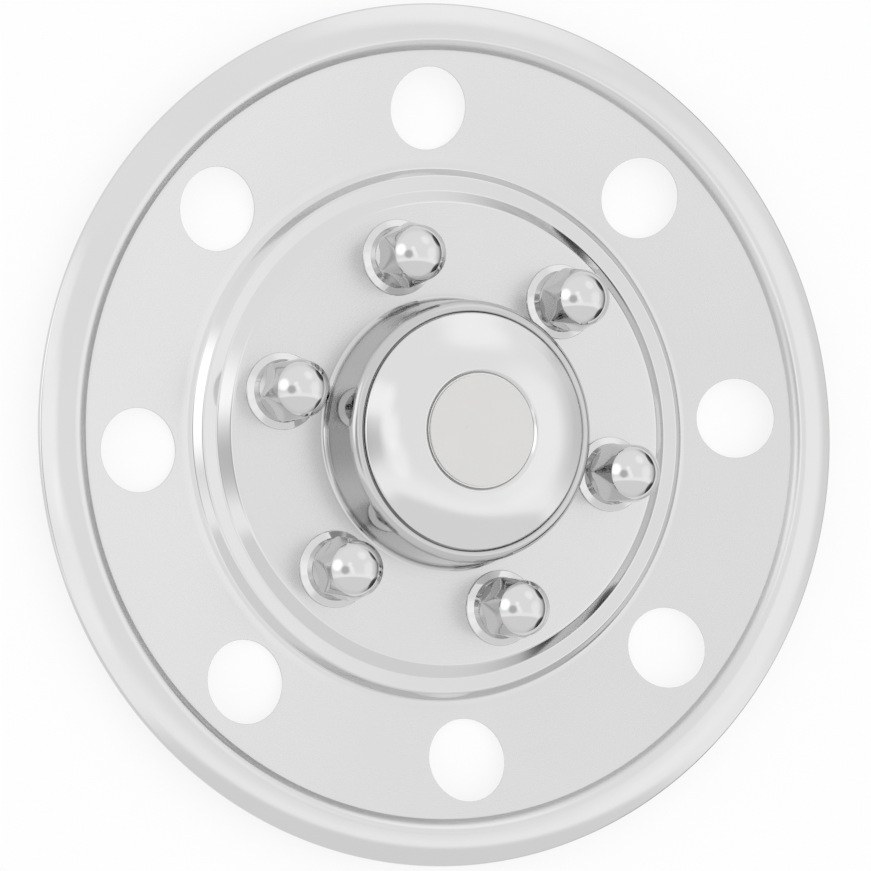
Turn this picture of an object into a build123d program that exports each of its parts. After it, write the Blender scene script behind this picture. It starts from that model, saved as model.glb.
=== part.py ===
from build123d import *
import os
from math import acos, atan2, cos, hypot, radians, sin, tan

# Hubcap for a six-stud commercial-van wheel, lying on its back with its face up.
# The wheel axis is Z, and the back of the seat ring lies on Z = 0.

# Sheet thicknesses
liner_thickness = 0.9
cap_thickness = 0.9
cover_thickness = 0.7
retainer_thickness = 0.6

# Lug nut covers: flanged hexagon shells with domed tops, on the stud circle of the wheel
lug_circle_dia = 180.0
lug_start_angle = 46.9
cover_turn_angles = (43.0, 29.0, 12.0, 43.0, 50.0, 57.0)
cover_flats_dia = 28.2
cover_neck_step = 0.1
cover_foot_width = 1.6
cover_foot_height = 3.0
cover_flange_width = 3.1
cover_flange_height = 1.4
corner_low_height = 12.0
corner_high_height = 14.5
dome_dia = 27.2
dome_height = 27.5
dome_rise = 7.7
dome_bend = 2.0
collar_clearance = 0.3
collar_length = 3.4

# Push-on retainers that hold the covers from behind the plate
retainer_grip_gap = 0.05
retainer_slot_count = 12
retainer_slot_width = 1.6
retainer_slot_depth = 2.4
retainer_band_width = 2.55

# Lug plate, and the two steps from it out to the seat ring
plate_height = 8.3
plate_margin = 5.3
plate_bend = 3.0
upper_riser_width = 6.1
ledge_width = 7.2
ledge_height = 4.1
ledge_rise = 0.8
ledge_bend = 1.8
lower_riser_width = 4.0
seat_width = 2.4
seat_bend = 2.0

# Dished flange with its hand holes
flange_width = 54.8
flange_sag = 0.6
flange_bow_radius = 700.0
crease_height = 12.2
crease_bend = 0.8
hand_hole_dia = 40.2
hand_hole_land = 7.9
hand_hole_count = 8
hand_hole_start_angle = 92.8

# Outer rim: a convex band with a curled edge
rim_wall_width = 3.3
rim_wall_height = 4.8
rim_crest_bend = 2.6
rim_band_width = 19.7
rim_band_drop = 3.8
rim_band_bulge = 1.25
rim_crown_radius = 60.0
curl_drop = 3.2
curl_width = 3.4
curl_bend = 1.5

# Drawn hub tower, with the stepped mouth that takes the cap
tower_margin = 5.5
tower_foot_bend = 2.5
tower_draft = 2.2
shoulder_width = 5.6
shoulder_rise = 1.0
shoulder_bend = 4.5
mouth_height = 38.6
mouth_step = 2.1
mouth_bend = 1.2
mouth_root_bend = 0.4
mouth_ledge_width = 2.5
neck_depth = 5.0

# Centre cap: a crowned pressing with a badge well and a welded snap skirt
cap_gap = 0.45
cap_edge_rise = 0.8
cap_edge_bend = 1.3
cap_crown_rise = 9.3
cap_crown_bulge = 2.0
cap_crown_radius = 70.0
well_dia = 59.0
well_rim_bend = 1.6
well_wall_width = 1.7
well_depth = 1.7
well_root_bend = 0.5
skirt_clearance = 0.3
skirt_bead = 0.7
skirt_bead_height = 1.6
skirt_bead_clearance = 0.3
skirt_tail = 1.2

# Blank badge disc in the well of the cap
badge_clearance = 0.3
badge_thickness = 1.0
badge_edge_round = 0.3

# Share of every run of a pressed outline that stays straight between two bends
straight_share = 0.02

# Radii of a cover, and of the rings of the liner from the lug circle outwards and inwards
neck_r = cover_flats_dia / 2 - cover_neck_step
foot_r = neck_r + cover_foot_width
cover_flange_r = foot_r + cover_flange_width
plate_r = lug_circle_dia / 2 + cover_flange_r + plate_margin
ledge_inner_r = plate_r + upper_riser_width
ledge_outer_r = ledge_inner_r + ledge_width
seat_inner_r = ledge_outer_r + lower_riser_width
seat_outer_r = seat_inner_r + seat_width
crease_r = seat_outer_r + flange_width
hand_hole_r = crease_r - hand_hole_land - hand_hole_dia / 2
crest_r = crease_r + rim_wall_width
rim_r = crest_r + rim_band_width
tower_foot_r = lug_circle_dia / 2 - cover_flange_r - tower_margin
tower_top_r = tower_foot_r - tower_draft
mouth_r = tower_top_r - shoulder_width
mouth_neck_r = mouth_r - mouth_ledge_width
well_floor_r = well_dia / 2 - well_wall_width

# Heights of the cap's seat in the mouth, of the rim of its well and of the well's floor
cap_seat_height = mouth_height - mouth_step
well_rim_height = mouth_height + cap_crown_rise
well_floor_height = well_rim_height - well_depth

os.makedirs("parts", exist_ok=True)


def bowed(start, end, rise):
    """Point half way between two points of an outline, raised off the line by the rise."""
    return (start[0] + end[0]) / 2, (start[1] + end[1]) / 2 + rise


def eased(points, bends):
    """Bends of an outline, each made smaller where a run is too short for the two at its ends."""
    runs = [Vector(end) - Vector(start) for start, end in zip(points, points[1:])]
    turns = [radians(run.get_angle(after)) for run, after in zip(runs, runs[1:])]
    reaches = [0, *(bend * tan(turn / 2) for bend, turn in zip(bends, turns)), 0]
    room = [
        min(1, run.length * (1 - straight_share) / (near + far))
        for run, near, far in zip(runs, reaches, reaches[1:])
    ]
    return [bend * min(before, after) for bend, before, after in zip(bends, room, room[1:])]


def pressed_sheet(face_points, bends, thickness):
    """Sheet turned round the Z axis, from its outer face as (radius, height) points, outside in."""
    face_line = FilletPolyline(*face_points, radius=eased(face_points, bends))
    section = make_face(offset(face_line, amount=thickness, side=Side.LEFT, closed=True).edges())
    return revolve(Plane.XZ * section, axis=Axis.Z)


def turned(points):
    """Solid turned round the Z axis from a closed outline of (radius, height) points."""
    return revolve(Plane.XZ * make_face(Polyline(*points, close=True)), axis=Axis.Z)


def on_circle(radius, angle, height):
    """Place at an angle on a circle round the wheel axis."""
    return Pos(radius * cos(radians(angle)), radius * sin(radians(angle)), height)


# Wheel liner: rim, flange, steps, plate and tower pressed from one sheet
def make_wheel_liner():
    crest = (crest_r, crease_height + rim_wall_height)
    rim_edge = (rim_r, crest[1] - rim_band_drop)
    crease = (crease_r, crease_height)
    seat = (seat_outer_r, liner_thickness)
    outline = [
        (rim_r - curl_width, rim_edge[1] - curl_drop),
        (rim_r, rim_edge[1] - curl_drop),
        rim_edge,
        bowed(rim_edge, crest, rim_band_bulge),
        crest,
        crease,
        bowed(crease, seat, -flange_sag),
        seat,
        (seat_inner_r, liner_thickness),
        (ledge_outer_r, ledge_height + ledge_rise),
        (ledge_inner_r, ledge_height),
        (plate_r, plate_height),
        (tower_foot_r, plate_height),
        (tower_top_r, mouth_height - shoulder_rise),
        (mouth_r, mouth_height),
        (mouth_r, cap_seat_height),
        (mouth_neck_r, cap_seat_height),
        (mouth_neck_r, cap_seat_height - neck_depth),
    ]
    bends = [
        curl_bend, curl_bend, rim_crown_radius, rim_crest_bend, crease_bend, flange_bow_radius,
        seat_bend, seat_bend, ledge_bend, ledge_bend, plate_bend, tower_foot_bend,
        shoulder_bend, mouth_bend, mouth_root_bend, mouth_bend,
    ]
    liner = pressed_sheet(outline, bends, liner_thickness)

    hand_hole = Cylinder(hand_hole_dia / 2, crease_height * 2)
    for i in range(hand_hole_count):
        angle = hand_hole_start_angle + i * 360 / hand_hole_count
        liner -= on_circle(hand_hole_r, angle, crease_height / 2) * hand_hole

    lug_hole = Cylinder(neck_r + collar_clearance, liner_thickness * 4)
    for i in range(len(cover_turn_angles)):
        angle = lug_start_angle + i * 360 / len(cover_turn_angles)
        liner -= on_circle(lug_circle_dia / 2, angle, plate_height) * lug_hole
    return liner


# Centre cap: crown with a badge well, its edge seated on the step of the tower's mouth
def make_center_cap():
    edge = (mouth_r - cap_gap, mouth_height + cap_edge_rise)
    well_rim = (well_dia / 2, well_rim_height)
    crown_mid = bowed(edge, well_rim, cap_crown_bulge)
    outline = [
        (edge[0], cap_seat_height),
        edge,
        crown_mid,
        well_rim,
        (well_floor_r, well_floor_height),
        (0, well_floor_height),
    ]
    bends = [cap_edge_bend, cap_crown_radius, well_rim_bend, well_root_bend]
    crown = pressed_sheet(outline, bends, cap_thickness)

    # The skirt is welded under the crown, and its bead snaps under the end of the tower's neck
    skirt_r = mouth_neck_r - skirt_clearance
    crown_slope = (crown_mid[1] - edge[1]) / (edge[0] - crown_mid[0])
    skirt_top = edge[1] + crown_slope * (edge[0] - skirt_r) - cap_thickness / 2
    bead_top = cap_seat_height - neck_depth - skirt_bead_clearance
    bead_bottom = bead_top - skirt_bead_height
    skirt = turned([
        (skirt_r - cap_thickness, skirt_top),
        (skirt_r - cap_thickness, bead_bottom - skirt_tail),
        (skirt_r, bead_bottom - skirt_tail),
        (skirt_r, bead_bottom),
        (skirt_r + skirt_bead, (bead_top + bead_bottom) / 2),
        (skirt_r, bead_top),
        (skirt_r, skirt_top),
    ])
    return crown + skirt


# Badge: a blank disc lying on the floor of the cap's well
def make_cap_badge():
    badge_r = well_floor_r - well_root_bend - badge_clearance
    disc = Pos(0, 0, well_floor_height + badge_thickness / 2) * Cylinder(badge_r, badge_thickness)
    return fillet(disc.edges().sort_by(Axis.Z)[-1], badge_edge_round)


def cover_round(inset):
    """Round blank of a cover: neck, swell out to the corners, cone, and domed top, all inset evenly."""
    corner_r = (cover_flats_dia / 2 - inset) / cos(radians(30))
    swell_start = cover_flange_height + cover_foot_height

    # The dome has a shoulder bend round its edge and a flatter crown, tangent to each other
    bend_r = dome_bend - inset
    bend_offset = dome_dia / 2 - dome_bend
    bend_lift = dome_rise - dome_bend
    crown_drop = (bend_offset ** 2 - bend_lift ** 2) / (2 * bend_lift)
    crown_r = dome_rise + crown_drop - inset
    crown_start = atan2(crown_drop, bend_offset)

    # The cone runs from the corners up to where it is tangent to the shoulder bend
    drop = dome_height - corner_high_height
    side = corner_r - bend_offset
    cone_stop = acos(bend_r / hypot(side, drop)) - atan2(drop, side)

    def on_bend(angle):
        return bend_offset + bend_r * cos(angle), dome_height + bend_r * sin(angle)

    def on_crown(angle):
        return crown_r * cos(angle), dome_height - crown_drop + crown_r * sin(angle)

    top = (0, dome_height - crown_drop + crown_r)
    sides = Polyline(
        top, (0, 0), (neck_r - inset, 0), (neck_r - inset, swell_start), (corner_r, corner_low_height),
        (corner_r, corner_high_height), on_bend(cone_stop),
    )
    shoulder = ThreePointArc(on_bend(cone_stop), on_bend((cone_stop + crown_start) / 2), on_bend(crown_start))
    crown = ThreePointArc(on_bend(crown_start), on_crown((crown_start + radians(90)) / 2), top)
    section = make_face([*sides.edges(), shoulder, crown])
    return revolve(Plane.XZ * section, axis=Axis.Z)


def cover_hexagon(inset, turn_angle):
    """Six flats of a cover with one corner at the given turn."""
    outline = RegularPolygon(cover_flats_dia / 2 - inset, 6, major_radius=False, rotation=turn_angle)
    return extrude(outline, dome_height + dome_dia)


# Lug nut cover: hollow hexagon shell, beaded flange on the plate and a collar through it
def make_lug_nut_cover(turn_angle):
    foot_top = cover_flange_height + cover_foot_height
    shell = cover_round(0) & cover_hexagon(0, turn_angle)

    edge_r = cover_flange_height / 2
    flat_r = cover_flange_r - edge_r
    flange_face = Line((foot_r, cover_flange_height), (flat_r, cover_flange_height))
    flange_edge = ThreePointArc((flat_r, cover_flange_height), (cover_flange_r, edge_r), (flat_r, 0))
    flange_base = Polyline((flat_r, 0), (0, 0), (0, foot_top), (neck_r, foot_top))
    foot_cone = Line((neck_r, foot_top), (foot_r, cover_flange_height))
    section = make_face([flange_face, flange_edge, *flange_base.edges(), foot_cone])
    shell += revolve(Plane.XZ * section, axis=Axis.Z)
    shell += Pos(0, 0, (edge_r - collar_length) / 2) * Cylinder(neck_r, edge_r + collar_length)

    bore_length = foot_top + collar_length
    hollow = cover_round(cover_thickness) & cover_hexagon(cover_thickness, turn_angle)
    hollow += Pos(0, 0, foot_top - bore_length / 2) * Cylinder(neck_r - cover_thickness, bore_length)
    return shell - hollow


# Retainer: a toothed spring ring pushed onto the collar behind the plate
def make_cover_retainer():
    grip_r = neck_r + retainer_grip_gap
    outer_r = grip_r + retainer_slot_depth + retainer_band_width
    ring = Cylinder(outer_r, retainer_thickness) - Cylinder(grip_r, retainer_thickness)
    slot = Pos(grip_r, 0, 0) * Box(retainer_slot_depth * 2, retainer_slot_width, retainer_thickness)
    for i in range(retainer_slot_count):
        ring -= Rot(0, 0, i * 360 / retainer_slot_count) * slot
    return ring


export_step(make_wheel_liner(), "parts/wheel_liner.step")
export_step(make_center_cap(), "parts/center_cap.step")
export_step(make_cap_badge(), "parts/cap_badge.step")

retainer_height = plate_height - liner_thickness - retainer_thickness / 2
for i, turn_angle in enumerate(cover_turn_angles):
    lug_angle = lug_start_angle + i * 360 / len(cover_turn_angles)
    cover = on_circle(lug_circle_dia / 2, lug_angle, plate_height) * make_lug_nut_cover(turn_angle)
    export_step(cover, f"parts/lug_nut_cover_{i + 1}.step")
    retainer = on_circle(lug_circle_dia / 2, lug_angle, retainer_height) * make_cover_retainer()
    export_step(retainer, f"parts/cover_retainer_{i + 1}.step")
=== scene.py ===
from math import acos, atan2, ceil, cos, hypot, pi, radians, sin, tan

import bmesh
import bpy
from mathutils import Matrix, Vector


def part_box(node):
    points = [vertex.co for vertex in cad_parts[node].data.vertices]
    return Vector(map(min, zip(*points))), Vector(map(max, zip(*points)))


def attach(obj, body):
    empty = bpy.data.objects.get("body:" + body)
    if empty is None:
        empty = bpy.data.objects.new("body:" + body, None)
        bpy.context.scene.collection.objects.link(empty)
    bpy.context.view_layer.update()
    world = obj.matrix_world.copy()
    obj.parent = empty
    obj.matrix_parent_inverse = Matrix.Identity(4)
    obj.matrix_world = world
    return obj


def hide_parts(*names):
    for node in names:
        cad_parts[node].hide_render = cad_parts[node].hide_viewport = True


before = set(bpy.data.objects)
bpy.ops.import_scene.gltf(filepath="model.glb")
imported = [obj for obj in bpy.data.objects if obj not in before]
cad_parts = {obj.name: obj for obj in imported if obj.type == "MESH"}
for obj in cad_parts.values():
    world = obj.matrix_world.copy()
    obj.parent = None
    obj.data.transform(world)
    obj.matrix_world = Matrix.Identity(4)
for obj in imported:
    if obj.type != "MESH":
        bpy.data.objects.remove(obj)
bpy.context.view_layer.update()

# The wheel liner is one polished stainless pressing: curled rim, dished flange with hand holes, two steps,
# a flat lug plate and a drawn tower with a stepped mouth. Its section is drawn on the outer face, in
# millimetres, spun round the wheel axis, and given the thickness of the sheet at the end.
MM = 0.001
tiny = 0.001
merge_gap = 0.02
liner_thickness = 0.9
rim_r = 211.5
liner_outline = [
    (208.1, 10.0), (rim_r, 10.0), (rim_r, 13.2), (201.65, 16.35), (191.8, 17.0), (188.5, 12.2),
    (161.1, 5.95), (133.7, 0.9), (131.3, 0.9), (127.3, 4.9), (120.1, 4.1), (114.0, 8.3),
    (65.8, 8.3), (63.6, 37.6), (58.0, 38.6), (58.0, 36.5), (55.5, 36.5), (55.5, 31.5),
]
liner_bends = [1.5, 1.5, 45.0, 6.6, 0.8, 700.0, 2.0, 2.0, 1.8, 1.8, 3.0, 2.5, 4.5, 1.2, 0.4, 1.2]
crease_bend, bow_bend, seat_bend, plate_bend, tower_bend = 4, 5, 6, 10, 11
liner_steps = 288
hand_holes = 8
hand_hole_r = 20.1
hand_hole_circle_r = 160.5
hand_hole_start = radians(92.8)
sector_rings = 8
sector_side_steps = 16
lug_hole_r = 14.3
lug_hole_steps = 64
bend_step = radians(10)
bend_run = 2.5
pierced_edge = 0.25
cut_edge_angle = radians(50)
turning_detail = 3.0
patch_detail = 4.0
patch_share = 0.5
noise_low, noise_high = 0.3, 0.7
dark_patch, light_patch = 0.97, 1.02
# Painted shade: the share to which the tower's colour is darkened.
tower_painted_shade = 0.82
# Radius, share of satin and tone, from the tower out to the rim. The tone is painted shade, which darkens
# the tower's colour and fades out at its foot.
satin_and_shade_stops = [
    (66.0, 0, tower_painted_shade), (69.5, 0.6, 1), (111.0, 0.6, 1), (113.5, 0, 1), (134.5, 0, 1), (138.0, 0.6, 1),
    (186.5, 0.6, 1), (188.5, 1, 1), (190.5, 1, 1), (193.0, 0, 1),
]


def bend_arcs(points, bends):
    """Round bend at each inner corner of an outline, as lists of points."""
    arcs = []
    for before, corner, after, bend in zip(points, points[1:], points[2:], bends):
        corner = Vector(corner)
        back = (Vector(before) - corner).normalized()
        onward = (Vector(after) - corner).normalized()
        half = back.angle(onward) / 2
        centre = corner + (back + onward).normalized() * bend / sin(half)
        first = corner + back * bend / tan(half) - centre
        last = corner + onward * bend / tan(half) - centre
        turn = pi - 2 * half
        steps = max(ceil(turn / bend_step), ceil(turn * bend / bend_run))
        arcs.append([centre + first.lerp(last, i / steps).normalized() * bend for i in range(steps + 1)])
    return arcs


def spin_line(bm, line, steps, start_angle=0.0):
    """Spin a line of (radius, height) points an eighth of a turn, and repeat that round the wheel axis."""
    part = bmesh.new()
    verts = [part.verts.new((r * cos(start_angle), r * sin(start_angle), z)) for r, z in line]
    edges = [part.edges.new(pair) for pair in zip(verts, verts[1:])]
    bmesh.ops.spin(part, geom=verts + edges, axis=(0, 0, 1), cent=(0, 0, 0), angle=pi / 4, steps=steps // 8)
    add_eighths(bm, part)


def add_eighths(bm, part):
    """Repeat an eighth of a ring round the wheel axis, and add the ring to a mesh."""
    everything = part.verts[:] + part.edges[:] + part.faces[:]
    bmesh.ops.spin(
        part, geom=everything, axis=(0, 0, 1), cent=(0, 0, 0), angle=7 * pi / 4, steps=7, use_duplicate=True,
    )
    mesh = bpy.data.meshes.new("ring")
    part.to_mesh(mesh)
    part.free()
    bm.from_mesh(mesh)
    bpy.data.meshes.remove(mesh)


def close_seams(bm):
    """Merge doubles and turn the faces of a mesh to one side."""
    bmesh.ops.remove_doubles(bm, verts=bm.verts, dist=merge_gap)
    bmesh.ops.recalc_face_normals(bm, faces=bm.faces)


def face_up(bm):
    """Close a sheet's seams and turn its faces to the visible side."""
    close_seams(bm)
    if sum(face.normal.z * face.calc_area() for face in bm.faces) < 0:
        bmesh.ops.reverse_faces(bm, faces=bm.faces)


def finished_piece(bm, name, material, slot, *nodes):
    """Turn a bmesh in millimetres into a piece that stands for its CAD nodes."""
    bmesh.ops.scale(bm, vec=(MM, MM, MM), verts=bm.verts)
    mesh = bpy.data.meshes.new(name)
    bm.to_mesh(mesh)
    bm.free()
    mesh.shade_smooth()
    mesh.materials.append(material)
    piece = bpy.data.objects.new(name, mesh)
    bpy.context.scene.collection.objects.link(piece)
    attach(piece, "root")
    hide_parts(*nodes)
    return piece


def thicken(piece, thickness, edge):
    """Give a sheet its thickness towards the back, with its cut edges broken."""
    wall = piece.modifiers.new("wall", "SOLIDIFY")
    wall.thickness = thickness * MM
    wall.offset = -1
    wall.use_even_offset = True
    broken = piece.modifiers.new("edges", "BEVEL")
    broken.width = edge * MM
    broken.segments = 2
    broken.profile = 0.5
    broken.limit_method = "ANGLE"
    broken.angle_limit = cut_edge_angle
    weighted = piece.modifiers.new("normals", "WEIGHTED_NORMAL")
    weighted.keep_sharp = False


def flange_sectors(bm, middle, line):
    """Grow one eighth of the flange in rings, from the edge of a hand hole out to the sector's border."""
    outer_r, inner_r = line[0].x, line[-1].x
    half = pi / hand_holes
    across = liner_steps // hand_holes
    width = outer_r - inner_r
    border = [(half - 2 * half * i / across, outer_r) for i in range(across)]
    border += [(-half, outer_r - width * i / sector_side_steps) for i in range(sector_side_steps)]
    border += [(2 * half * i / across - half, inner_r) for i in range(across)]
    border += [(half, inner_r + width * i / sector_side_steps) for i in range(sector_side_steps)]
    count = len(border)
    first = atan2(hand_hole_circle_r * sin(half), outer_r - hand_hole_circle_r)

    def height(r):
        for start, end in zip(line, line[1:]):
            if r >= end.x:
                return end.y + (start.y - end.y) * (r - end.x) / (start.x - end.x)
        return line[-1].y

    def place(vert, index, share):
        angle = first - 2 * pi * index / count
        x = hand_hole_circle_r + hand_hole_r * cos(angle)
        y = hand_hole_r * sin(angle)
        turn = atan2(y, x) * (1 - share) + border[index][0] * share
        r = hypot(x, y) * (1 - share) + border[index][1] * share
        vert.co = (r * cos(middle + turn), r * sin(middle + turn), height(r))

    part = bmesh.new()
    order = part.verts.layers.int.new("order")
    ring = bmesh.ops.create_circle(part, segments=count, radius=hand_hole_r)["verts"]
    edges = set(part.edges)
    for vert in ring:
        vert[order] = round(atan2(vert.co.y, vert.co.x) / (2 * pi) * count) % count
        place(vert, vert[order], 0)
    for step in range(1, sector_rings + 1):
        grown = bmesh.ops.extrude_edge_only(part, edges=list(edges))["geom"]
        fresh = {item for item in grown if isinstance(item, bmesh.types.BMVert)}
        for vert in fresh:
            place(vert, vert[order], step / sector_rings)
        edges = {edge for vert in fresh for edge in vert.link_edges if set(edge.verts) <= fresh}
    add_eighths(bm, part)


def polished_metal(name, color, roughness, haze, lines, grain, satin=0.0):
    """Polished metal with turning lines; where satin is given, satin flats and a tower darkened by painted
    shade.
    """
    material = bpy.data.materials.new(name)
    material.use_nodes = True
    nodes, links = material.node_tree.nodes, material.node_tree.links
    shader = nodes["Principled BSDF"]
    shader.inputs["Metallic"].default_value = 1.0
    place = nodes.new("ShaderNodeTexCoord").outputs["Object"]

    split = nodes.new("ShaderNodeSeparateXYZ")
    links.new(place, split.inputs[0])
    flat = nodes.new("ShaderNodeCombineXYZ")
    links.new(split.outputs["X"], flat.inputs["X"])
    links.new(split.outputs["Y"], flat.inputs["Y"])
    radius = nodes.new("ShaderNodeVectorMath")
    radius.operation = "LENGTH"
    links.new(flat.outputs[0], radius.inputs[0])
    along = nodes.new("ShaderNodeMath")
    along.operation = "ADD"
    links.new(radius.outputs["Value"], along.inputs[0])
    links.new(split.outputs["Z"], along.inputs[1])
    turning = nodes.new("ShaderNodeTexNoise")
    turning.noise_dimensions = "1D"
    turning.inputs["Scale"].default_value = lines
    turning.inputs["Detail"].default_value = turning_detail
    links.new(along.outputs[0], turning.inputs["W"])

    patches = nodes.new("ShaderNodeTexNoise")
    patches.inputs["Scale"].default_value = grain
    patches.inputs["Detail"].default_value = patch_detail
    links.new(place, patches.inputs["Vector"])

    mixed = nodes.new("ShaderNodeMix")
    mixed.data_type = "FLOAT"
    mixed.inputs["Factor"].default_value = patch_share
    links.new(turning.outputs["Fac"], mixed.inputs["A"])
    links.new(patches.outputs["Fac"], mixed.inputs["B"])
    polish = nodes.new("ShaderNodeMapRange")
    polish.inputs["From Min"].default_value = noise_low
    polish.inputs["From Max"].default_value = noise_high
    polish.inputs["To Min"].default_value = roughness
    polish.inputs["To Max"].default_value = roughness + haze
    links.new(mixed.outputs["Result"], polish.inputs["Value"])
    finish = polish.outputs["Result"]
    if satin:
        share = nodes.new("ShaderNodeMath")
        share.operation = "DIVIDE"
        share.inputs[1].default_value = rim_r * MM
        links.new(radius.outputs["Value"], share.inputs[0])
        # The ramp's red is the share of satin; its green is painted shade, which darkens the tower's colour.
        flats = nodes.new("ShaderNodeValToRGB")
        links.new(share.outputs[0], flats.inputs["Fac"])
        ramp = flats.color_ramp.elements
        for stop_r, amount, painted_shade in satin_and_shade_stops:
            ramp.new(stop_r / rim_r).color = (amount, painted_shade, 0, 1)
        ramp[0].color = ramp[1].color
        ramp[-1].color = ramp[-2].color
        both = nodes.new("ShaderNodeSeparateColor")
        links.new(flats.outputs["Color"], both.inputs[0])
        softer = nodes.new("ShaderNodeMath")
        softer.operation = "MULTIPLY_ADD"
        softer.inputs[1].default_value = satin
        links.new(both.outputs["Red"], softer.inputs[0])
        links.new(finish, softer.inputs[2])
        finish = softer.outputs[0]
    links.new(finish, shader.inputs["Roughness"])

    tone = nodes.new("ShaderNodeMapRange")
    tone.data_type = "FLOAT_VECTOR"
    tone.inputs["To Min"].default_value = [c * dark_patch for c in color]
    tone.inputs["To Max"].default_value = [c * light_patch for c in color]
    links.new(patches.outputs["Fac"], tone.inputs["Vector"])
    paint = tone.outputs["Vector"]
    if satin:
        # Painted shade: the colour is scaled down by the ramp's green on the tower.
        tower_shade = nodes.new("ShaderNodeVectorMath")
        tower_shade.operation = "SCALE"
        links.new(paint, tower_shade.inputs[0])
        links.new(both.outputs["Green"], tower_shade.inputs["Scale"])
        paint = tower_shade.outputs["Vector"]
    links.new(paint, shader.inputs["Base Color"])
    return material


stainless = polished_metal(
    "polished_stainless", color=(0.66, 0.66, 0.661), roughness=0.06, haze=0.03, lines=900.0, grain=14.0,
    satin=0.33,
)
liner_arcs = bend_arcs(liner_outline, liner_bends)
rim_line = [Vector(liner_outline[0])] + sum(liner_arcs[:crease_bend + 1], [])
flange_line = [liner_arcs[crease_bend][-1], *liner_arcs[bow_bend], liner_arcs[seat_bend][0]]
step_line = sum(liner_arcs[seat_bend:plate_bend + 1], [])
tower_line = sum(liner_arcs[tower_bend:], []) + [Vector(liner_outline[-1])]

liner = bmesh.new()
sector_start = hand_hole_start - pi / hand_holes
for line in (rim_line, step_line, tower_line):
    spin_line(liner, line, liner_steps, sector_start)
flange_sectors(liner, hand_hole_start, flange_line)
bmesh.ops.remove_doubles(liner, verts=liner.verts, dist=merge_gap)

covers = 6
cover_names = [f"lug_nut_cover_{i + 1}" for i in range(covers)]
cover_boxes = [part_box(name) for name in cover_names]
cover_places = [(low + high) / 2 / MM for low, high in cover_boxes]
plate_z = step_line[-1].y
plate_edges = [
    edge for edge in liner.edges
    if edge.is_boundary and all(abs(vert.co.z - plate_z) < tiny for vert in edge.verts)
]
for spot in cover_places:
    made = bmesh.ops.create_circle(
        liner, segments=lug_hole_steps, radius=lug_hole_r,
        matrix=Matrix.Translation((spot.x, spot.y, plate_z)),
    )
    plate_edges += {edge for vert in made["verts"] for edge in vert.link_edges}
bmesh.ops.triangle_fill(liner, edges=plate_edges, use_beauty=True, normal=(0, 0, 1))
face_up(liner)
liner_piece = finished_piece(liner, "liner_sheet", stainless, "polished_stainless", "wheel_liner")
thicken(liner_piece, liner_thickness, pierced_edge)

# The centre cap is a crowned stainless pressing with a shallow badge well. A skirt welded under the crown
# snaps into the neck of the tower's mouth, and the cap's edge stands on the step round it.
cap_thickness = 0.9
cap_steps = 256
cap_outline = [(57.55, 36.5), (57.55, 39.4), (43.525, 45.65), (29.5, 47.9), (27.8, 46.2), (0.0, 46.2)]
cap_bends = [1.3, 70.0, 1.6, 0.5]
skirt_outline = [
    (54.3, 39.9), (54.3, 28.4), (55.2, 28.4), (55.2, 29.6), (55.9, 30.4), (55.2, 31.2), (55.2, 39.9),
    (54.3, 39.9),
]
skirt_sharp_angle = radians(30)

cap = bmesh.new()
cap_line = [Vector(cap_outline[0])] + sum(bend_arcs(cap_outline, cap_bends), []) + [Vector(cap_outline[-1])]
spin_line(cap, cap_line, cap_steps)
face_up(cap)
cap_steel = polished_metal(
    "cap_stainless", color=(0.68, 0.68, 0.68), roughness=0.08, haze=0.06, lines=900.0, grain=14.0,
)
cap_piece = finished_piece(cap, "cap_crown", cap_steel, "polished_stainless", "center_cap")
thicken(cap_piece, cap_thickness, pierced_edge)

skirt = bmesh.new()
spin_line(skirt, skirt_outline, cap_steps)
close_seams(skirt)
skirt_piece = finished_piece(skirt, "cap_skirt", cap_steel, "polished_stainless", "center_cap")
skirt_piece.data.set_sharp_from_angle(angle=skirt_sharp_angle)

# The badge is a plain blank disc, moulded with a softly rounded edge and finished in a pale lacquer.
# It lies on the floor of the cap's well, within the rounded lip of the crown.
badge_round = 0.3
badge_steps = 192
cloud_scale = 60.0
cloud_detail = 5.0
smooth_lacquer, dull_lacquer = 0.24, 0.34
badge_low, badge_high = (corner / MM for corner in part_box("cap_badge"))
badge_r = (badge_high.x - badge_low.x) / 2


def badge_lacquer(name, color):
    """Pale lacquer with a faint satin unevenness."""
    material = bpy.data.materials.new(name)
    material.use_nodes = True
    nodes, links = material.node_tree.nodes, material.node_tree.links
    shader = nodes["Principled BSDF"]
    shader.inputs["Metallic"].default_value = 0.0
    place = nodes.new("ShaderNodeTexCoord").outputs["Object"]
    cloud = nodes.new("ShaderNodeTexNoise")
    cloud.inputs["Scale"].default_value = cloud_scale
    cloud.inputs["Detail"].default_value = cloud_detail
    links.new(place, cloud.inputs["Vector"])
    tone = nodes.new("ShaderNodeMapRange")
    tone.data_type = "FLOAT_VECTOR"
    tone.inputs["To Min"].default_value = [c * dark_patch for c in color]
    tone.inputs["To Max"].default_value = [c * light_patch for c in color]
    links.new(cloud.outputs["Fac"], tone.inputs["Vector"])
    links.new(tone.outputs["Vector"], shader.inputs["Base Color"])
    gloss = nodes.new("ShaderNodeMapRange")
    gloss.inputs["To Min"].default_value = smooth_lacquer
    gloss.inputs["To Max"].default_value = dull_lacquer
    links.new(cloud.outputs["Fac"], gloss.inputs["Value"])
    links.new(gloss.outputs["Result"], shader.inputs["Roughness"])
    return material


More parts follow.
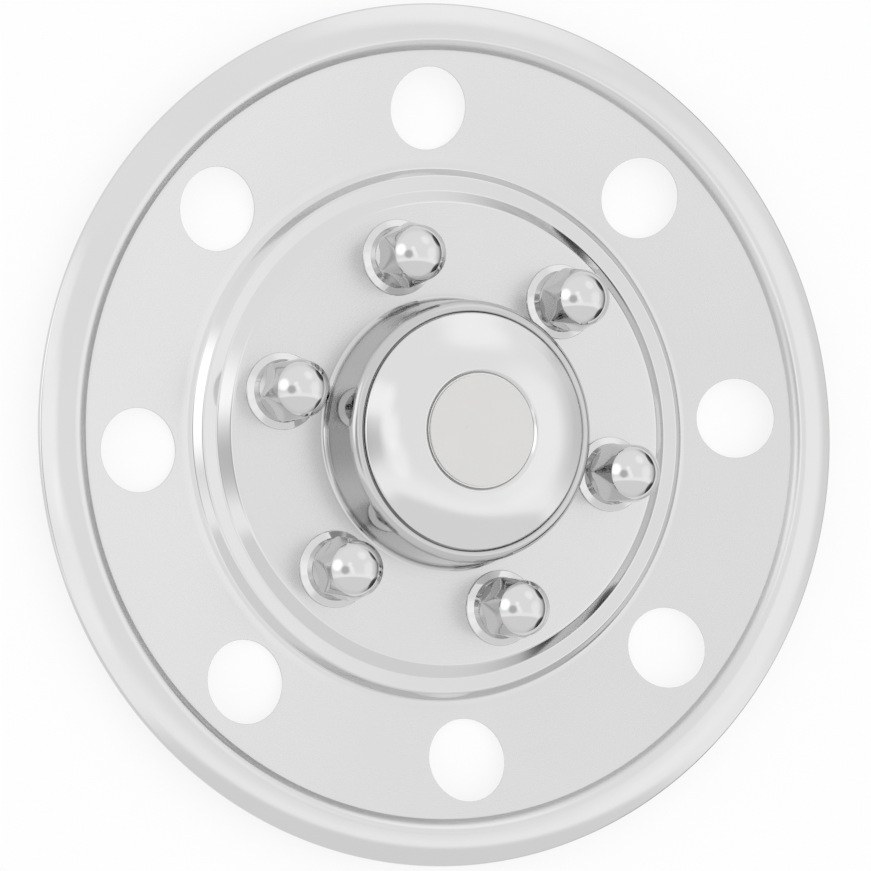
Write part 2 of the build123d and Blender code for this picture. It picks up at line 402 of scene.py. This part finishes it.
badge_outline = [
    (0.0, badge_low.z), (badge_r, badge_low.z), (badge_r, badge_high.z), (0.0, badge_high.z),
]
badge = bmesh.new()
badge_line = [
    Vector(badge_outline[0]), *sum(bend_arcs(badge_outline, [badge_round / 2, badge_round]), []),
    Vector(badge_outline[-1]),
]
spin_line(badge, badge_line, badge_steps)
close_seams(badge)
badge_material = badge_lacquer("badge_lacquer", color=(0.66, 0.655, 0.645))
badge_piece = finished_piece(badge, "badge_disc", badge_material, "badge_disc", "cap_badge")
badge_piece.modifiers.new("normals", "WEIGHTED_NORMAL")

# Each lug nut cover is a hollow chromed shell: a sloping flange with a rounded edge, a waist, six
# lens-shaped flats, and a domed top. Its collar goes through the plate into a push-on retainer.
cover_thickness = 0.7
cover_steps = 144
cover_flats_r = 14.1
cover_neck_r = 14.0
cover_foot_width = 1.6
cover_foot_height = 3.0
cover_flange_r = 18.7
cover_flange_height = 1.4
cover_flange_edge = 1.0
cover_flange_rise = 2.0
flange_edge_steps = 16
cover_sharp_angle = radians(35)
corner_low = 12.0
corner_high = 14.5
dome_r = 13.6
dome_height = 27.5
dome_rise = 7.7
dome_bend = 2.0
collar_length = 3.4
flat_edge_round = 0.5
side_rings = 40
bend_rings = 6
crown_rings = 18
cover_turns = [43.0, 29.0, 12.0, 43.0, 50.0, 57.0]


def cover_side(inset):
    """Outline of a cover's shell from its waist, over the corners and the dome's bend, to its top."""
    corner_r = (cover_flats_r - inset) / cos(radians(30))
    bend_r = dome_bend - inset
    bend_offset = dome_r - dome_bend
    bend_lift = dome_rise - dome_bend
    crown_drop = (bend_offset ** 2 - bend_lift ** 2) / (2 * bend_lift)
    crown_r = dome_rise + crown_drop - inset
    crown_start = atan2(crown_drop, bend_offset)
    side, drop = corner_r - bend_offset, dome_height - corner_high
    cone_stop = acos(bend_r / hypot(side, drop)) - atan2(drop, side)
    bend_middle = Vector((bend_offset, dome_height))
    crown_middle = Vector((0.0, dome_height - crown_drop))

    waist = Vector((cover_neck_r - inset, cover_flange_height + cover_foot_height))
    cone_end = bend_middle + bend_r * Vector((cos(cone_stop), sin(cone_stop)))
    corners = [waist, Vector((corner_r, corner_low)), Vector((corner_r, corner_high)), cone_end]
    line = []
    for start, end in zip(corners, corners[1:]):
        rings = max(2, round(side_rings * (end.y - start.y) / (cone_end.y - waist.y)))
        line += [start.lerp(end, i / rings) for i in range(rings)]
    for i in range(bend_rings):
        angle = cone_stop + (crown_start - cone_stop) * i / bend_rings
        line.append(bend_middle + bend_r * Vector((cos(angle), sin(angle))))
    for i in range(crown_rings + 1):
        angle = crown_start + (pi / 2 - crown_start) * i / crown_rings
        line.append(crown_middle + crown_r * Vector((cos(angle), sin(angle))))
    line[-1].x = 0.0
    return line


def press_flats(verts, inset, turn):
    """Press six flats into a round shell, with a soft edge where the two forms meet."""
    for vert in verts:
        round_r = hypot(vert.co.x, vert.co.y)
        if round_r < tiny:
            continue
        angle = (atan2(vert.co.y, vert.co.x) - turn) % (pi / 3) - pi / 6
        flat_r = (cover_flats_r - inset) / cos(angle)
        share = min(1.0, max(0.0, 0.5 + 0.5 * (flat_r - round_r) / flat_edge_round))
        pressed = flat_r + (round_r - flat_r) * share - flat_edge_round * share * (1 - share)
        vert.co.x *= pressed / round_r
        vert.co.y *= pressed / round_r


def make_cover(turn):
    """One cover standing on the origin."""
    cover = bmesh.new()
    foot_top = cover_flange_height + cover_foot_height
    for inset in (0.0, cover_thickness):
        before = len(cover.verts)
        spin_line(cover, cover_side(inset), cover_steps)
        cover.verts.ensure_lookup_table()
        shell = [vert for vert in cover.verts[before:] if vert.co.z > foot_top + tiny]
        press_flats(shell, inset, turn)
    edge_r = cover_flange_edge / 2
    rim_r = cover_flange_r - edge_r
    bore_r = cover_neck_r - cover_thickness
    rise_r = cover_neck_r + cover_foot_width * (foot_top - cover_flange_rise) / cover_foot_height
    line = [(cover_neck_r, foot_top), (rise_r, cover_flange_rise)]
    for i in range(flange_edge_steps + 1):
        angle = pi / 2 - pi * i / flange_edge_steps
        line.append((rim_r + edge_r * cos(angle), edge_r + edge_r * sin(angle)))
    line += [(cover_neck_r, 0.0), (cover_neck_r, -collar_length)]
    line += [(bore_r, -collar_length), (bore_r, foot_top)]
    spin_line(cover, line, cover_steps)
    close_seams(cover)
    return cover


chrome = polished_metal(
    "bright_chrome", color=(0.65, 0.65, 0.655), roughness=0.03, haze=0.03, lines=1400.0, grain=40.0,
)
for name, (low, _), spot, turn in zip(cover_names, cover_boxes, cover_places, cover_turns):
    cover = make_cover(radians(turn))
    bmesh.ops.translate(cover, verts=cover.verts, vec=(spot.x, spot.y, low.z / MM + collar_length))
    piece = finished_piece(cover, name.replace("lug_nut_cover", "nut_shell"), chrome, "chromed_steel", name)
    piece.data.set_sharp_from_angle(angle=cover_sharp_angle)
    piece.modifiers.new("normals", "WEIGHTED_NORMAL").keep_sharp = True

# The retainers are toothed rings stamped from dull spring steel. Each is pushed onto the collar of a cover
# behind the plate, where its teeth keep the cover in its opening.
spring_steel = polished_metal(
    "spring_steel", color=(0.36, 0.36, 0.37), roughness=0.28, haze=0.18, lines=500.0, grain=180.0,
)
for i in range(covers):
    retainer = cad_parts[f"cover_retainer_{i + 1}"]
    retainer.data.materials.clear()
    retainer.data.materials.append(spring_steel)

# The floor is a wide sheet of matt white paper, on which the part lies. It looks plain white to the camera
# and in the polished metal, and keeps a soft shadow of the part.
floor_size = 6.0
floor_drop = 0.0003
floor_glow = 0.8
paper_white = (0.9, 0.9, 0.9, 1)
paper_roughness = 0.9
floor_mesh = bpy.data.meshes.new("floor")
floor_bm = bmesh.new()
bmesh.ops.create_grid(floor_bm, x_segments=1, y_segments=1, size=floor_size)
bmesh.ops.translate(floor_bm, verts=floor_bm.verts, vec=(0, 0, -floor_drop))
floor_bm.to_mesh(floor_mesh)
floor_bm.free()
floor = bpy.data.objects.new("floor", floor_mesh)
bpy.context.scene.collection.objects.link(floor)
floor_material = bpy.data.materials.new("floor_paper")
floor_material.use_nodes = True
nodes, links = floor_material.node_tree.nodes, floor_material.node_tree.links
paper = nodes["Principled BSDF"]
paper.inputs["Base Color"].default_value = paper_white
paper.inputs["Roughness"].default_value = paper_roughness
glow = nodes.new("ShaderNodeEmission")
glow.inputs["Strength"].default_value = 1.0
ray = nodes.new("ShaderNodeLightPath")
straight = ray.outputs["Is Camera Ray"]
for kind in ("Is Glossy Ray", "Is Transmission Ray"):
    either = nodes.new("ShaderNodeMath")
    either.operation = "MAXIMUM"
    links.new(straight, either.inputs[0])
    links.new(ray.outputs[kind], either.inputs[1])
    straight = either.outputs[0]
seen = nodes.new("ShaderNodeMath")
seen.operation = "MULTIPLY"
seen.inputs[1].default_value = floor_glow
links.new(straight, seen.inputs[0])
blend = nodes.new("ShaderNodeMixShader")
links.new(seen.outputs[0], blend.inputs["Fac"])
links.new(paper.outputs["BSDF"], blend.inputs[1])
links.new(glow.outputs["Emission"], blend.inputs[2])
links.new(blend.outputs["Shader"], nodes["Material Output"].inputs["Surface"])
floor.data.materials.append(floor_material)

# The light is a soft white tent. It ends in a bright edge in front, and is a little darker beyond that, on
# the right and along its foot. Soft panels shine beside the camera, behind and low on the left, and three
# gaps stay dark.
tent_tone = 1.07
right_tone = 0.85
right_start, right_end = 0.8, 0.98
front_tone = 0.78
front_start, front_end = -0.48, -0.39
front_edge_tone = 1.12
front_edge_start, front_edge_end = -0.35, -0.15
left_foot_tone = 0.9
right_foot_tone = 0.25
foot_start, foot_end = 0.3, 0.8
foot_height = 0.35
# Direction of the middle, half width and soft edge in degrees, and change of tone
panels = [
    ((-0.35, 0.27, 0.90), 2.0, 8.0, 0.2), ((-0.28, 0.04, 0.96), 2.0, 8.0, 0.18),
    ((-0.19, -0.16, 0.97), 2.0, 8.0, 0.14), ((0.70, 0.02, 0.71), 8.0, 16.0, 0.12),
    ((0.40, 0.65, 0.65), 4.0, 14.0, 0.16), ((-0.88, 0.22, 0.42), 9.0, 14.0, 0.5),
    ((-0.60, -0.06, 0.80), 7.0, 11.0, -0.42), ((0.86, 0.50, 0.08), 9.0, 8.0, -0.85),
    ((0.84, -0.54, 0.08), 9.0, 8.0, -0.85),
]

world = bpy.data.worlds.new("tent")
bpy.context.scene.world = world
world.use_nodes = True
nodes, links = world.node_tree.nodes, world.node_tree.links
direction = nodes.new("ShaderNodeTexCoord").outputs["Generated"]
parts = nodes.new("ShaderNodeSeparateXYZ")
links.new(direction, parts.inputs[0])


def tent_band(value, start, end, low, high):
    """Tone that goes smoothly from low to high as a value of the direction goes from start to end."""
    band = nodes.new("ShaderNodeMapRange")
    band.interpolation_type = "SMOOTHSTEP"
    links.new(value, band.inputs["Value"])
    for name, number in zip(("From Min", "From Max", "To Min", "To Max"), (start, end, low, high)):
        band.inputs[name].default_value = number
    return band.outputs["Result"]


def tent_join(operation, first, second):
    """Two tones of the tent joined by an operation."""
    join = nodes.new("ShaderNodeMath")
    join.operation = operation
    links.new(first, join.inputs[0])
    links.new(second, join.inputs[1])
    return join.outputs[0]


foot = tent_band(parts.outputs["X"], foot_start, foot_end, left_foot_tone, right_foot_tone)
rise = tent_band(parts.outputs["Z"], 0.0, foot_height, 0.0, 1.0)
lifted = nodes.new("ShaderNodeMix")
lifted.data_type = "FLOAT"
lifted.inputs["B"].default_value = 1.0
links.new(rise, lifted.inputs["Factor"])
links.new(foot, lifted.inputs["A"])
tone = lifted.outputs["Result"]
for band in (
    tent_band(parts.outputs["X"], right_start, right_end, tent_tone, right_tone),
    tent_band(parts.outputs["Y"], front_start, front_end, front_tone, 1.0),
    tent_band(parts.outputs["Y"], front_edge_start, front_edge_end, front_edge_tone, 1.0),
):
    tone = tent_join("MULTIPLY", tone, band)
for middle, half_width, edge, change in panels:
    along = nodes.new("ShaderNodeVectorMath")
    along.operation = "DOT_PRODUCT"
    along.inputs[1].default_value = Vector(middle).normalized()
    links.new(direction, along.inputs[0])
    outside, inside = cos(radians(half_width + edge)), cos(radians(half_width))
    tone = tent_join("MULTIPLY", tone, tent_band(along.outputs["Value"], outside, inside, 1.0, 1.0 + change))
links.new(tone, nodes["Background"].inputs["Strength"])
nodes["Background"].inputs["Color"].default_value = (1, 1, 1, 1)

# The camera has a long lens and stands where the photograph was taken from, above the part's left.
# Its place is in metres from the foot of the wheel axis, and two directions give its right and its top.
camera_place = (-0.7254, -0.0614, 1.6499)
camera_data = bpy.data.cameras.new("camera")
camera_data.sensor_width = 36.0
camera_data.lens = 151.11
camera = bpy.data.objects.new("camera", camera_data)
camera_right = Vector((0.91631, -0.01472, 0.40020)).normalized()
camera_up = Vector((0.0, 0.99933, 0.03675)).normalized()
camera_turn = Matrix((camera_right, camera_up, camera_right.cross(camera_up))).transposed()
camera.matrix_world = Matrix.Translation(camera_place) @ camera_turn.to_4x4()
bpy.context.scene.collection.objects.link(camera)
bpy.context.scene.camera = camera
bpy.context.scene.view_settings.view_transform = "Standard"
